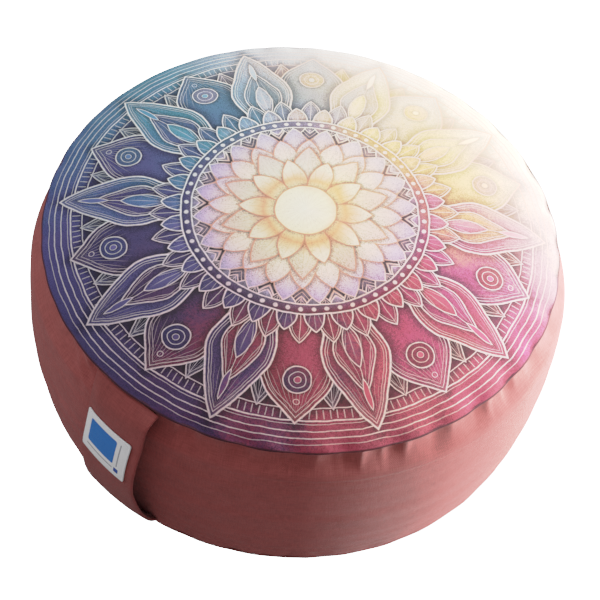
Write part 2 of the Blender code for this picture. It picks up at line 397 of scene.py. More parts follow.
def build_top():
    """The printed panel, domed by the filling and dipping at its rim where the cloth is gathered."""
    rows = 66
    share = 1.0 - (1.0 - np.linspace(0.012, 1.0, rows)) ** 1.6
    s = share[:, None]
    folds = gather(ANGLES[None, :])
    radius = SEAM_RADIUS * s + SCALLOP * (0.5 - folds) * s**8
    # the rim dips where the cloth is gathered, and the filling shows as soft lumps
    rim = hump(s, 1.0, 0.035) * eased(s, 1.0, 0.985)
    wide_rim = hump(s, 1.0, 0.09) * eased(s, 1.0, 0.985)
    fine = uneven(rows, 9, 3.2, 21)
    lumps = uneven(rows, 12, 30, 22) * eased(s, 0.0, 0.35) * eased(s, 1.0, 0.9)
    height = crown_height(s) - folds * (RIM_DIPS[0] * rim + RIM_DIPS[1] * wide_rim)
    height = height + TOP_CREASE * fine * rim + TOP_LUMP * lumps
    outer = on_ring(radius, height)
    inner_share = np.array([0.994, 0.97, 0.93, 0.8, 0.5, 0.15])
    inner_r = inner_share[:, None] * (radius[-1] / SEAM_RADIUS)[None, :] * SEAM_RADIUS
    inner_r[0] = radius[-1] - 0.0014
    inner_z = crown_height(inner_share)[:, None] - CLOTH
    inner_z[0] = SEAM_HEIGHT + 0.0004
    inner = on_ring(inner_r, inner_z)
    rings = np.concatenate([outer, inner])
    # the cloth's own flat radius, so that the print follows the crown
    runs = np.hypot(np.diff(SEAM_RADIUS * share), np.diff(crown_height(share)))
    flat = SEAM_RADIUS * share[0] + totals(runs)
    flat = flat / flat[-1]
    uv_of = round_uv(np.concatenate([flat, inner_share]))
    piece = turned_form("printed_top", rings, uv_of)
    centre_uv(piece, len(rings) * STEPS)
    return piece


def centre_uv(piece, first_pole):
    """Puts the print's centre on the closed middle points of a turned sheet."""
    mesh = piece.data
    layer = mesh.uv_layers["cloth"].data
    for loop in mesh.loops:
        if loop.vertex_index >= first_pole:
            layer[loop.index].uv = (0.5, 0.5)


def base_rise(radius):
    """The base cloth's height over the ground at a radius: nothing where it rests."""
    return np.interp(radius, BASE_RADII, BASE_RISES)


def build_base():
    """The base panel, flat where it rests and turned up at its rim."""
    steps_share = np.array([1.0, 0.985, 0.965, 0.945, 0.92, 0.893, 0.86, 0.75, 0.5, 0.2, 0.02])
    radius = BASE_SEAM_RADIUS * steps_share
    rise = base_rise(radius)
    folds = gather(ANGLES)[None, :]
    rim_share = (np.minimum(radius / SEAM_RADIUS, 1.0) ** 8)[:, None]
    scallop = BASE_SHARE * SCALLOP * (0.5 - folds)
    shift = (out_of_round(ANGLES[None, :], 0.14) + scallop) * rim_share
    facing = (np.sin(ANGLES) < 0)[None, :]
    shift = shift - facing * pulled_in(SEAM_RADIUS * np.cos(ANGLES)[None, :], 0.1445) * rim_share
    fine = uneven(len(radius), 3, 3.0, 31) * 0.00025 * eased(radius, 0.157, 0.168)[:, None]
    outer = on_ring(radius[:, None] + shift, rise[:, None] + np.abs(fine))
    inner_r = np.array([0.02, 0.5, 0.86, 0.92, 0.965, 0.99])[:, None] * BASE_SEAM_RADIUS
    inner_z = base_rise(inner_r) + CLOTH
    inner = on_ring(inner_r + shift[:1] * (inner_r / BASE_SEAM_RADIUS) ** 8, inner_z)
    rings = np.concatenate([inner, outer])
    uv_of = round_uv(np.concatenate([inner_r[:, 0], radius]) / BASE_SEAM_RADIUS)
    return turned_form("base_cloth", rings, uv_of)


# ---- the strap and its label
def strap_face(across, along):
    """Points of the strap's outer face; along runs from 0 at the top seam to 1 at the base seam."""
    last = len(STRAP) - 1
    place = np.clip(along, 0.0, 1.0) * last
    i = np.minimum(place.astype(int), last - 1)
    t = (place - i)[..., None]
    p0, p1, p2, p3 = (STRAP[np.clip(i + k, 0, last)] for k in (-1, 0, 1, 2))
    row = p1 + 0.5 * t * (p2 - p0 + t * (2 * p0 - 5 * p1 + 4 * p2 - p3 + t * (3 * (p1 - p2) + p3 - p0)))
    share = 0.5 + across / STRAP_WIDTH
    out = row[..., 0] + share * (row[..., 2] - row[..., 0])
    drop = row[..., 1] + share * (row[..., 3] - row[..., 1])
    chord = np.sqrt(SEAM_RADIUS**2 - across**2)
    return np.stack([across + 0 * out, pulled_in(across, drop) - chord - out, SEAM_HEIGHT - drop], -1)


def strap_frame(across, along):
    """The outer face's points and the directions it looks in."""
    d = 0.0008
    here = strap_face(across, along)
    sideways = strap_face(across + d, along) - strap_face(across - d, along)
    up = strap_face(across, np.clip(along - d, 0, 1)) - strap_face(across, np.clip(along + d, 0, 1))
    normal = np.cross(sideways, up)
    return here, normal / np.linalg.norm(normal, axis=-1, keepdims=True)


def strap_lengths():
    """Cloth length from the top seam at even places along the strap's middle line."""
    along = np.linspace(0, 1, 600)
    points = strap_face(np.zeros(600), along)
    return along, totals(np.linalg.norm(np.diff(points, axis=0), axis=1))


def build_strap():
    """The folded band, from the top seam to the base seam."""
    along_at, length_at = strap_lengths()
    total = length_at[-1]
    rows = 190
    length = np.linspace(0.0, total, rows)
    along = np.interp(length, length_at, along_at)
    # one turn round the folded band: softly rounded at its two folded edges
    half = 0.5 * STRAP_WIDTH
    middle = -0.5 * STRAP_THICKNESS
    bend = 0.0009
    flat = np.linspace(-1, 1, 21) * (half - bend)
    turn = np.radians(np.linspace(-90, 90, 9)[1:-1])
    fold = list(zip(half - bend + bend * np.cos(turn), middle * np.sin(turn)))
    ring = [(x, 0.0) for x in flat]
    ring += [(x, middle + z) for x, z in fold]
    ring += [(x, -STRAP_THICKNESS) for x in flat[::-1]]
    ring += [(-x, middle - z) for x, z in fold]
    ring = np.array(ring)
    count = len(ring)
    across, down = np.meshgrid(ring[:, 0], along)
    lift = np.broadcast_to(ring[:, 1], across.shape)
    place, normal = strap_frame(across, down)
    # the folded edges stand a little full, and the cloth is a little uneven between them
    face_wave = uneven(rows, 10, 7, 41, steps=64)
    cell = np.clip(((across / half) * 0.5 + 0.5) * 40, 0, 39).astype(int)
    wave = face_wave[np.arange(rows)[:, None], cell]
    edge = hump(half - np.abs(across), 0.0018, 0.0012)
    groove = hump(half - np.abs(across), 0.0042, 0.0008)
    front = (lift > -0.0002) * 1.0
    lift = lift + front * (0.00016 * wave * (1 - edge) + 0.00022 * edge - 0.00012 * groove)
    rings = place + normal * lift[..., None]
    quads, corners = ring_faces(rows, count)
    faces = [*quads.tolist(), range(count), reversed(range((rows - 1) * count, rows * count))]
    sides = np.diff(np.vstack([ring, ring[:1]]), axis=0)
    girth = totals(np.hypot(*sides.T))
    uvs = [(girth[c], length[r]) for c, r in corners.reshape(-1, 2)]
    uvs += [(girth[c], 0.0) for c in range(count)]
    uvs += [(girth[c], total) for c in reversed(range(count))]
    return add_mesh("folded_strap", rings.reshape(-1, 3), faces, uvs)


def build_label():
    """The small woven label, which follows the strap's face and has a stitched-down rim."""
    along_at, length_at = strap_lengths()
    nx, ny = 64, 54
    half_x, half_y = LABEL_WIDTH / 2, LABEL_HEIGHT / 2
    x, y = np.meshgrid(np.linspace(-half_x, half_x, nx + 1), np.linspace(-half_y, half_y, ny + 1))
    # rounded corners
    corner = 0.0016
    inner_x, inner_y = half_x - corner, half_y - corner
    past_x = np.maximum(np.abs(x) - inner_x, 0)
    past_y = np.maximum(np.abs(y) - inner_y, 0)
    past = np.hypot(past_x, past_y)
    pull = np.where(past > corner, corner / np.maximum(past, 1e-9), 1.0)
    x = np.sign(x) * (np.minimum(np.abs(x), inner_x) + past_x * pull)
    y = np.sign(y) * (np.minimum(np.abs(y), inner_y) + past_y * pull)
    along = np.interp(LABEL_START + half_y + y, length_at, along_at)
    place, normal = strap_frame(LABEL_SHIFT + x, along)
    edge = np.minimum(half_x - np.abs(x), half_y - np.abs(y))
    # a full rim, and the row of stitches that sinks in beside it
    puff = LABEL_FACE + 0.00018 * eased(edge, 0.0, 0.0007)
    puff = puff - 0.00022 * hump(edge, 0.0016, 0.0005)
    front = place + normal * puff[..., None]
    back = place + normal * LABEL_BACK
    count = (nx + 1) * (ny + 1)
    points = np.vstack([front.reshape(-1, 3), back.reshape(-1, 3)])
    faces, uvs = [], []
    for j in range(ny):
        for i in range(nx):
            a, b = j * (nx + 1) + i, j * (nx + 1) + i + 1
            c, d = a + nx + 1, b + nx + 1
            faces.append((a, c, d, b))
            faces.append((count + a, count + b, count + d, count + c))
            left, right = i / nx, (i + 1) / nx
            here, below = 1 - j / ny, 1 - (j + 1) / ny
            uvs += [(left, here), (left, below), (right, below), (right, here)]
            uvs += [(left, here), (right, here), (right, below), (left, below)]
    rim = list(range(nx)) + [j * (nx + 1) + nx for j in range(ny)]
    rim += [ny * (nx + 1) + i for i in range(nx, 0, -1)] + [j * (nx + 1) for j in range(ny, 0, -1)]
    for a, b in zip(rim, rim[1:] + rim[:1]):
        faces.append((a, b, count + b, count + a))
        uv_a, uv_b = ((0.5 + x.flat[k] / LABEL_WIDTH, 0.5 - y.flat[k] / LABEL_HEIGHT) for k in (a, b))
        uvs += [uv_a, uv_b, uv_b, uv_a]
    return add_mesh("woven_label", points, faces, uvs)


# ---- materials
class Nodes:
    """Builds a material's nodes from short expressions."""

    def __init__(self, name):
        self.material = bpy.data.materials.new(name)
        self.material.use_nodes = True
        self.tree = self.material.node_tree
        self.shader = self.tree.nodes["Principled BSDF"]
        self.count = 0

    def new(self, kind, **settings):
        node = self.tree.nodes.new(kind)
        node.location = (-200 - 160 * (self.count // 12), 400 - 60 * (self.count % 12))
        self.count += 1
        for key, value in settings.items():
            setattr(node, key, value)
        return node

    def feed(self, socket, value):
        if isinstance(value, bpy.types.NodeSocket):
            self.tree.links.new(value, socket)
        else:
            socket.default_value = value

    def math(self, operation, *values, clamp=False):
        node = self.new("ShaderNodeMath", operation=operation, use_clamp=clamp)
        for socket, value in zip(node.inputs, values):
            self.feed(socket, value)
        return node.outputs[0]

    def times(self, one, two, clamp=False):
        return self.math("MULTIPLY", one, two, clamp=clamp)

    def plus(self, one, two):
        return self.math("ADD", one, two)

    def less(self, one, two):
        return self.math("SUBTRACT", one, two)

    def scaled(self, value, by, plus, clamp=False):
        return self.math("MULTIPLY_ADD", value, by, plus, clamp=clamp)

    def greater(self, one, two):
        return self.math("MAXIMUM", one, two)

    def size(self, value):
        return self.math("ABSOLUTE", value)

    def wave(self, value, count):
        """Humps from 0 to 1, from the sine of value times count."""
        return self.size(self.math("SINE", self.times(value, count)))

    def vector(self, operation, *values):
        node = self.new("ShaderNodeVectorMath", operation=operation)
        for socket, value in zip(node.inputs, values):
            self.feed(socket, value)
        return node.outputs["Value" if operation in ("LENGTH", "DISTANCE") else "Vector"]

    def point(self, x, y):
        node = self.new("ShaderNodeCombineXYZ")
        self.feed(node.inputs[0], x)
        self.feed(node.inputs[1], y)
        return node.outputs[0]

    def split(self, value):
        node = self.new("ShaderNodeSeparateXYZ")
        self.feed(node.inputs[0], value)
        return node.outputs

    def ease(self, value, low, high, start=0.0, end=1.0):
        """A smooth step from start at low to end at high."""
        node = self.new("ShaderNodeMapRange", interpolation_type="SMOOTHSTEP")
        self.feed(node.inputs[0], value)
        for k, v in zip((1, 2, 3, 4), (low, high, start, end)):
            self.feed(node.inputs[k], v)
        return node.outputs[0]

    def noise(self, where, scale, detail=2.0, rough=0.5):
        node = self.new("ShaderNodeTexNoise")
        self.feed(node.inputs["Vector"], where)
        for name, value in (("Scale", scale), ("Detail", detail), ("Roughness", rough)):
            node.inputs[name].default_value = value
        return node.outputs["Fac"]

    def ramp(self, value, stops):
        """A colour from a table of places and colours."""
        node = self.new("ShaderNodeValToRGB")
        elements = node.color_ramp.elements
        while len(elements) < len(stops):
            elements.new(1.0)
        for element, (position, colour) in zip(elements, stops):
            element.position = position
            element.color = (*linear(colour), 1.0)
        self.feed(node.inputs[0], value)
        return node.outputs[0]

    def mix(self, share, one, two):
        """One colour where share is 0, the other where it is 1."""
        node = self.new("ShaderNodeMix", data_type="RGBA")
        self.feed(node.inputs[0], share)
        for socket, colour in zip(node.inputs[6:8], (one, two)):
            if not isinstance(colour, bpy.types.NodeSocket):
                colour = (*linear(colour), 1.0)
            self.feed(socket, colour)
        return node.outputs[2]

    def blend(self, share, one, two):
        """One value where share is 0, the other where it is 1."""
        node = self.new("ShaderNodeMix", data_type="FLOAT")
        self.feed(node.inputs[0], share)
        self.feed(node.inputs[2], one)
        self.feed(node.inputs[3], two)
        return node.outputs[0]

    def uv(self):
        return self.new("ShaderNodeUVMap", uv_map="cloth").outputs[0]

    def bump(self, height, distance, strength=1.0):
        node = self.new("ShaderNodeBump")
        node.inputs["Strength"].default_value = strength
        node.inputs["Distance"].default_value = distance
        self.feed(node.inputs["Height"], height)
        self.tree.links.new(node.outputs[0], self.shader.inputs["Normal"])

    def shade(self, name, value):
        self.feed(self.shader.inputs[name], value)

    def finish(self, colour, roughness, sheen):
        self.shade("Base Color", colour)
        self.shade("Roughness", roughness)
        self.shade("Specular IOR Level", 0.25)
        self.shade("Sheen Weight", sheen)
        self.shade("Sheen Roughness", 0.4)
        return self.material


def linear(colour):
    """Linear values of a colour given as it shows on a screen, 0 to 255."""
    return tuple((c / 255 / 12.92) if c <= 10 else ((c / 255 + 0.055) / 1.055) ** 2.4 for c in colour)


def plain_weave(n, across, along):
    """The height of plain-woven threads; across and along count the threads."""
    one = n.math("SINE", n.times(across, math.pi))
    two = n.math("SINE", n.times(along, math.pi))
    return n.scaled(n.times(one, two), 0.5, 0.5)


def cotton(name, colour, threads_across, threads_along, seed):
    """Matt plain-woven cotton of one colour, a little uneven in tone."""
    n = Nodes(name)
    uv = n.split(n.uv())
    across = n.times(uv[0], threads_across)
    along = n.times(uv[1], threads_along)
    weave = plain_weave(n, across, along)
    where = n.new("ShaderNodeTexCoord").outputs["Object"]
    shifted = n.vector("ADD", where, (seed, 0.0, 0.0))
    slub = n.noise(n.point(n.times(across, 0.9), n.times(along, 0.06)), 1.0, 2.0)
    slub_two = n.noise(n.point(n.times(across, 0.06), n.times(along, 0.9)), 1.0, 2.0)
    slubs = n.plus(slub, slub_two)
    mottle = n.noise(shifted, 55.0, 3.0, 0.6)
    fuzz = n.noise(shifted, 1800.0, 2.0, 0.7)
    tone = n.scaled(fuzz, 0.22, 0.045)
    for part, share in ((mottle, 0.16), (slubs, 0.34), (weave, 0.08)):
        tone = n.scaled(part, share, tone)
    dark = tuple(c * 0.80 for c in colour)
    light = tuple(min(255, c * 1.13) for c in colour)
    shade = n.ease(tone, 0.35, 0.85)
    height = n.scaled(fuzz, 0.5, n.scaled(slubs, 0.5, weave))
    n.bump(height, 0.00022, 0.8)
    return n.finish(n.mix(shade, dark, light), n.ease(fuzz, 0.2, 0.8, 0.82, 0.95), 0.08)


# the print: everything is placed in the flat cloth's own plane, where the seam's radius is 1
WASH = (
    (0.00, (204, 84, 140)), (0.06, (240, 160, 130)), (0.13, (252, 212, 138)),
    (0.21, (238, 200, 176)), (0.29, (142, 172, 196)), (0.37, (66, 146, 170)),
    (0.46, (64, 102, 156)), (0.54, (80, 74, 138)), (0.62, (62, 58, 100)),
    (0.70, (68, 46, 88)), (0.745, (112, 48, 76)), (0.78, (166, 56, 72)),
    (0.85, (192, 68, 84)), (0.93, (202, 72, 112)), (1.00, (204, 84, 140)),
)
DEEP = (
    (0.00, (168, 58, 108)), (0.08, (222, 122, 90)), (0.16, (240, 172, 100)),
    (0.26, (140, 130, 166)), (0.36, (62, 100, 132)), (0.48, (56, 60, 110)),
    (0.60, (42, 36, 74)), (0.70, (58, 32, 58)), (0.78, (110, 32, 46)),
    (0.90, (148, 40, 66)), (1.00, (168, 58, 108)),
)
GLOW = (
    (0.00, (255, 246, 214)), (0.10, (255, 238, 188)), (0.16, (240, 168, 110)),
    (0.22, (253, 232, 192)), (0.31, (249, 214, 198)), (0.39, (208, 186, 220)),
    (0.46, (144, 128, 186)), (0.55, (108, 92, 150)),
)
THREAD = (
    (0.00, (255, 222, 230)), (0.20, (255, 248, 230)), (0.45, (224, 232, 236)),
    (0.65, (226, 200, 214)), (0.82, (250, 204, 192)), (1.00, (255, 222, 230)),
)

# the plain rings of the border: radius, width, strength
BORDER = (
    (0.840, 0.0019, 0.8), (0.884, 0.0025, 1.0), (0.896, 0.0013, 0.6),
    (0.921, 0.0018, 0.9), (0.946, 0.0020, 0.9), (0.968, 0.0015, 0.6),
)


class Print:
    """Paints ring after ring of a round pattern, each over the last.

    point is the place in the sector at work, and inside is 1 within the motif laid last.
    """

    def __init__(self, n, radius, angle):
        self.n = n
        self.radius = radius
        self.angle = angle
        self.tone = 1.0
        self.deep = 0.0
        self.hue = 0.0
        self.line = 0.0
        self.flank = 0.5
        self.point = None
        self.inside = None

    def fold(self, count, turn=0.0):
        """Works from here on in count equal sectors, each folded onto one half of itself."""
        n = self.n
        turns = n.scaled(self.angle, count / (2 * math.pi), turn + 0.5)
        part = n.less(n.math("FRACT", turns), 0.5)
        self.flank = n.ease(part, -0.006, 0.006)
        theta = n.size(n.times(part, 2 * math.pi / count))
        x = n.times(self.radius, n.math("COSINE", theta))
        y = n.times(self.radius, n.math("SINE", theta))
        self.point = n.point(x, y)

    def disc(self, x, r, y=0.0):
        """Signed distance to a circle, negative inside."""
        return self.n.less(self.n.vector("DISTANCE", self.point, (x, y, 0.0)), r)

    def leaf(self, start, end, half_width):
        """Signed distance to a leaf between two places on the sector's middle line."""
        half = 0.5 * (end - start)
        back = (half**2 - half_width**2) / (2 * half_width)
        return self.disc(0.5 * (start + end), half_width + back, -back)

    def joined(self, one, two, soft):
        """Signed distance to two shapes that run softly into each other."""
        return self.n.math("SMOOTH_MIN", one, two, soft)

    def draw(self, mark):
        """Adds a mark to the drawn lines."""
        self.line = self.n.greater(self.line, mark)

    def stroke(self, distance, width, strength=1.0, offset=0.0, within=None):
        """A drawn line along distance == offset."""
        n = self.n
        from_line = n.size(n.less(distance, offset) if offset else distance)
        mark = n.ease(from_line, width * 1.5, width * 0.4, 0.0, strength)
        if within is not None:
            mark = n.times(mark, within)
        self.draw(mark)

    def inset(self, distance, width, strength, offset):
        """A line drawn inside the motif at work, along its edge."""
        self.stroke(distance, width, strength, offset, self.inside)

    def lay(
        self, distance, tone, edge_tone, deep, edge, shadow, width, strength=1.0, hue=0.0, facet=0.0
    ):
        """Lays one motif over what is there, with a shadow round it, a shaded rim and a drawn outline.

        tone and edge_tone are how bright it is inside and at its rim, deep the share of the deeper
        wash, edge and shadow how far the rim's shade and the shadow reach, width the outline's.
        """
        n = self.n
        cast = n.ease(distance, 0.0, shadow, 0.34, 1.0)
        inside = n.ease(distance, 0.0012, -0.0012)
        body = n.ease(distance, -edge, 0.0, tone, edge_tone)
        if facet:
            body = n.times(body, n.scaled(self.flank, facet, 1.0 - 0.5 * facet))
        self.tone = n.blend(inside, n.times(self.tone, cast), body)
        self.deep = n.blend(inside, self.deep, deep)
        self.hue = n.blend(inside, self.hue, hue)
        self.line = n.blend(inside, self.line, 0.0)
        self.inside = inside
        self.stroke(distance, width, strength)

    def veins(self, origin, count, width, strength, far):
        """Fine rays from a place on the sector's middle line, kept inside the motif at work."""
        n = self.n
        parts = n.split(n.vector("SUBTRACT", self.point, (origin, 0.0, 0.0)))
        wave = n.wave(n.math("ARCTAN2", parts[1], parts[0]), count)
        reach = n.vector("DISTANCE", self.point, (origin, 0.0, 0.0))
        mark = n.ease(wave, width, 0.0, 0.0, strength)
        mark = n.times(mark, n.ease(reach, far, far * 0.5))
        self.draw(n.times(mark, self.inside))

    def midrib(self, width, strength):
        """A line down the middle of the motif at work."""
        mark = self.n.ease(self.n.split(self.point)[1], width * 1.5, width * 0.3, 0.0, strength)
        self.draw(self.n.times(mark, self.inside))

    def dots(self, count, ring, size, strength):
        """A ring of small round marks."""
        self.fold(count)
        self.draw(self.n.ease(self.disc(ring, size), 0.002, -0.002, 0.0, strength))


def printed_cotton():
    """A generic round pattern of layered petals, beads and rings in watercolour and pencil tones."""
    n = Nodes("printed_cotton")
    uv = n.uv()
    plane = n.vector("MULTIPLY", n.vector("SUBTRACT", uv, (0.5, 0.5, 0.0)), (2.0, 2.0, 0.0))
    # every line is drawn by an unsteady hand
    unsteady = n.noise(plane, 11.0, 3.0).node.outputs["Color"]
    wobble = n.vector("SUBTRACT", unsteady, (0.5, 0.5, 0.5))
    drawn = n.vector("ADD", plane, n.vector("MULTIPLY", wobble, (0.014, 0.014, 0.0)))
    xy = n.split(drawn)
    radius = n.vector("LENGTH", n.point(xy[0], xy[1]))
    angle = n.math("ARCTAN2", xy[1], xy[0])
    p = Print(n, radius, angle)

    # the ground and the rings of the border
    p.tone = n.ease(radius, 0.80, 1.0, 0.66, 0.92)
    p.deep = n.ease(radius, 0.86, 0.84, 0.45, 1.0)
    ticks = n.ease(n.wave(angle, 110.0), 0.34, 0.08)
    in_comb = n.ease(n.size(n.less(radius, 0.862)), 0.017, 0.013)
    p.line = n.times(n.times(ticks, in_comb), 0.6)
    for ring, width, strength in BORDER:
        p.stroke(radius, width, strength, ring)

    # slim leaves fill the ground behind the petals
    p.fold(20, 0.5)
    slim = p.leaf(0.46, 0.845, 0.062)
    p.lay(slim, 0.80, 0.45, 0.9, 0.05, 0.03, 0.0022, strength=0.8, hue=-0.05, facet=0.35)
    p.inset(slim, 0.0012, 0.6, -0.012)
    p.veins(0.84, 22.0, 0.30, 0.45, 0.26)
    p.midrib(0.0014, 0.6)

    # wide rounded petals behind, between the front ones
    p.fold(10, 0.5)
    back = p.joined(p.disc(0.70, 0.128), p.leaf(0.36, 0.895, 0.115), 0.06)
    p.lay(back, 1.00, 0.50, 0.70, 0.07, 0.05, 0.0029, hue=0.05, facet=0.22)
    p.inset(back, 0.0013, 0.8, -0.014)
    p.inset(back, 0.0012, 0.5, -0.026)
    p.veins(0.895, 26.0, 0.30, 0.40, 0.24)
    medal = p.disc(0.735, 0.050)
    p.lay(medal, 0.85, 0.60, 0.95, 0.03, 0.025, 0.0022, strength=0.9, hue=-0.04)
    p.stroke(p.disc(0.735, 0.030), 0.0014, 0.8)
    p.lay(p.disc(0.735, 0.012), 1.5, 1.2, 0.0, 0.01, 0.01, 0.0012, strength=0.8)
    p.stroke(p.disc(0.820, 0.010), 0.0014, 0.8)

    # round-shouldered petals in front, each with an inner petal and a drop
    p.fold(10)
    front = p.joined(p.disc(0.655, 0.116), p.leaf(0.38, 0.935, 0.100), 0.07)
    p.lay(front, 1.12, 0.52, 0.20, 0.08, 0.06, 0.0034, hue=-0.015, facet=0.18)
    p.inset(front, 0.0013, 0.8, -0.013)
    p.inset(front, 0.0012, 0.5, -0.022)
    p.veins(0.93, 30.0, 0.30, 0.35, 0.22)
    inner = p.joined(p.disc(0.635, 0.070), p.leaf(0.44, 0.80, 0.060), 0.05)
    p.lay(inner, 1.10, 0.62, 0.75, 0.06, 0.03, 0.0024, strength=0.9, hue=0.045, facet=0.30)
    p.inset(inner, 0.0011, 0.6, -0.010)
    p.veins(0.80, 18.0, 0.25, 0.55, 0.26)
    p.midrib(0.0014, 0.8)
    bud = p.leaf(0.52, 0.70, 0.030)
    p.lay(bud, 1.25, 0.75, 0.25, 0.03, 0.02, 0.0020, strength=0.9, hue=-0.03, facet=0.35)
    p.veins(0.52, 12.0, 0.30, 0.6, 0.16)
    p.lay(p.leaf(0.745, 0.865, 0.011), 2.0, 1.7, 0.0, 0.015, 0.02, 0.0014)

    # two rows of small scales over the petals' feet
    p.fold(30, 0.5)
    scale = p.leaf(0.40, 0.590, 0.042)
    p.lay(scale, 0.95, 0.50, 0.75, 0.04, 0.03, 0.0024, strength=0.9, hue=0.03, facet=0.35)
    p.inset(scale, 0.0011, 0.6, -0.009)
    p.midrib(0.0013, 0.7)
    p.fold(30)
    scale = p.leaf(0.40, 0.545, 0.038)
    p.lay(scale, 1.10, 0.62, 0.35, 0.035, 0.025, 0.0026, hue=-0.03, facet=0.30)
    p.veins(0.42, 12.0, 0.28, 0.5, 0.14)

    # a band of beads between two rings
    band = n.less(n.size(n.less(radius, 0.452)), 0.020)
    p.lay(band, 0.62, 0.45, 1.0, 0.02, 0.025, 0.0030)
    p.dots(60, 0.452, 0.0085, 0.9)

    # pale rows of pointed leaves
    p.fold(20, 0.5)
    leaves = p.leaf(0.20, 0.425, 0.056)
    p.lay(leaves, 1.25, 0.85, 0.30, 0.04, 0.03, 0.0028, strength=0.9, facet=0.20)
    p.veins(0.42, 18.0, 0.30, 0.6, 0.18)
    p.fold(20)
    leaves = p.leaf(0.18, 0.365, 0.048)
    p.lay(leaves, 1.45, 1.00, 0.10, 0.04, 0.025, 0.0026, strength=0.9, facet=0.22)
    p.veins(0.20, 14.0, 0.28, 0.5, 0.16)
    p.fold(10, 0.5)
    petals = p.joined(p.disc(0.225, 0.052), p.leaf(0.11, 0.325, 0.046), 0.03)
    p.lay(petals, 1.60, 1.15, 0.45, 0.05, 0.025, 0.0030, strength=0.9, facet=0.25)
    p.veins(0.32, 16.0, 0.26, 0.6, 0.20)
    p.fold(10)
    petals = p.leaf(0.06, 0.255, 0.044)
    p.lay(petals, 1.85, 1.45, 0.15, 0.04, 0.02, 0.0026, strength=0.9, facet=0.15)
    p.veins(0.08, 12.0, 0.28, 0.5, 0.18)

    # the bright middle
    p.lay(n.less(radius, 0.118), 2.1, 1.8, 0.0, 0.08, 0.03, 0.0028)
    rays = n.ease(n.wave(angle, 15.0), 0.30, 0.0, 0.0, 0.6)
    p.draw(n.times(rays, n.ease(radius, 0.12, 0.03)))

    # watercolour and pencil: two washes round the compass of the cloth, paler and warmer to the middle
    grain = n.noise(uv, 170.0, 5.0, 0.75)
    cloud = n.noise(uv, 10.0, 4.0, 0.6)
    speck = n.noise(uv, 430.0, 2.0, 0.8)
    bearing = n.plus(angle, n.scaled(cloud, 0.9, -0.45 - VIEW_TURN))
    tinted = n.scaled(n.less(grain, 0.5), 0.10, p.hue)
    turn = n.math("FRACT", n.plus(n.scaled(bearing, 1 / (2 * math.pi), 2.0), tinted))
    colour = n.mix(p.deep, n.ramp(turn, WASH), n.ramp(turn, DEEP))
    glow = n.ramp(n.scaled(cloud, 0.10, n.less(radius, 0.05)), GLOW)
    near_middle = n.ease(radius, 0.47, 0.40, 0.0, 0.92)
    lit = n.times(near_middle, n.scaled(p.deep, -0.55, 1.0, clamp=True))
    colour = n.mix(lit, colour, glow)

    specks = n.ease(speck, 0.36, 0.64, 0.52, 1.48)
    pencil = n.times(specks, n.ease(grain, 0.34, 0.66, 0.68, 1.32))
    strength = n.times(p.tone, pencil)
    strength = n.times(strength, n.scaled(cloud, 0.7, 0.62))
    # painted light: the print grows paler, brighter and warmer towards the window side, a painted glare
    # where the light washes it out
    toward_x = n.times(xy[0], math.cos(PAINTED_GLARE_TURN))
    toward_y = n.times(xy[1], math.sin(PAINTED_GLARE_TURN))
    toward = n.plus(toward_x, toward_y)
    # pale is the painted glare's share, greatest towards the window light
    pale = n.ease(n.scaled(cloud, 0.25, toward), 0.28, 1.06)
    gain = n.ease(radius, 0.46, 0.24, 1.14, 0.94)
    strength = n.math("MINIMUM", n.times(strength, gain), 1.08)
    strength = n.blend(n.times(pale, 0.52), strength, 1.06)
    painted_glare_colour = n.mix(n.ease(radius, 0.66, 0.94), (255, 224, 148), (255, 246, 228))
    colour = n.mix(n.times(pale, 0.60), colour, painted_glare_colour)
    toned = n.vector("SCALE", colour)
    n.feed(toned.node.inputs["Scale"], strength)

    thread = n.mix(n.ease(radius, 0.44, 0.34), n.ramp(turn, THREAD), (206, 132, 100))
    # painted light: the drawn lines warm up under the same painted glare
    thread = n.mix(n.times(pale, 0.9), thread, (230, 150, 104))
    line = n.times(p.line, n.ease(grain, 0.30, 0.55, 0.60, 1.0))
    colour = n.mix(n.times(line, 0.92, clamp=True), toned, thread)
    # the rim turns down into the seam; the dark band there is painted shade, standing in for the shade in
    # the seam's crevice
    rim = n.ease(n.scaled(grain, 0.004, n.vector("LENGTH", plane)), 0.9930, 0.9975)
    colour = n.mix(n.times(rim, 0.92), colour, (58, 22, 28))

    # two threads to the millimetre
    parts = n.split(n.vector("MULTIPLY", uv, (2000 * SEAM_RADIUS, 2000 * SEAM_RADIUS, 0.0)))
    weave = plain_weave(n, n.times(parts[0], 2.0), n.times(parts[1], 2.0))
    colour = n.mix(n.times(n.less(1.0, weave), 0.18), colour, (40, 24, 40))
    n.bump(n.scaled(grain, 0.6, weave), 0.00020, 0.7)
    return n.finish(colour, n.ease(speck, 0.2, 0.8, 0.78, 0.92), 0.04)


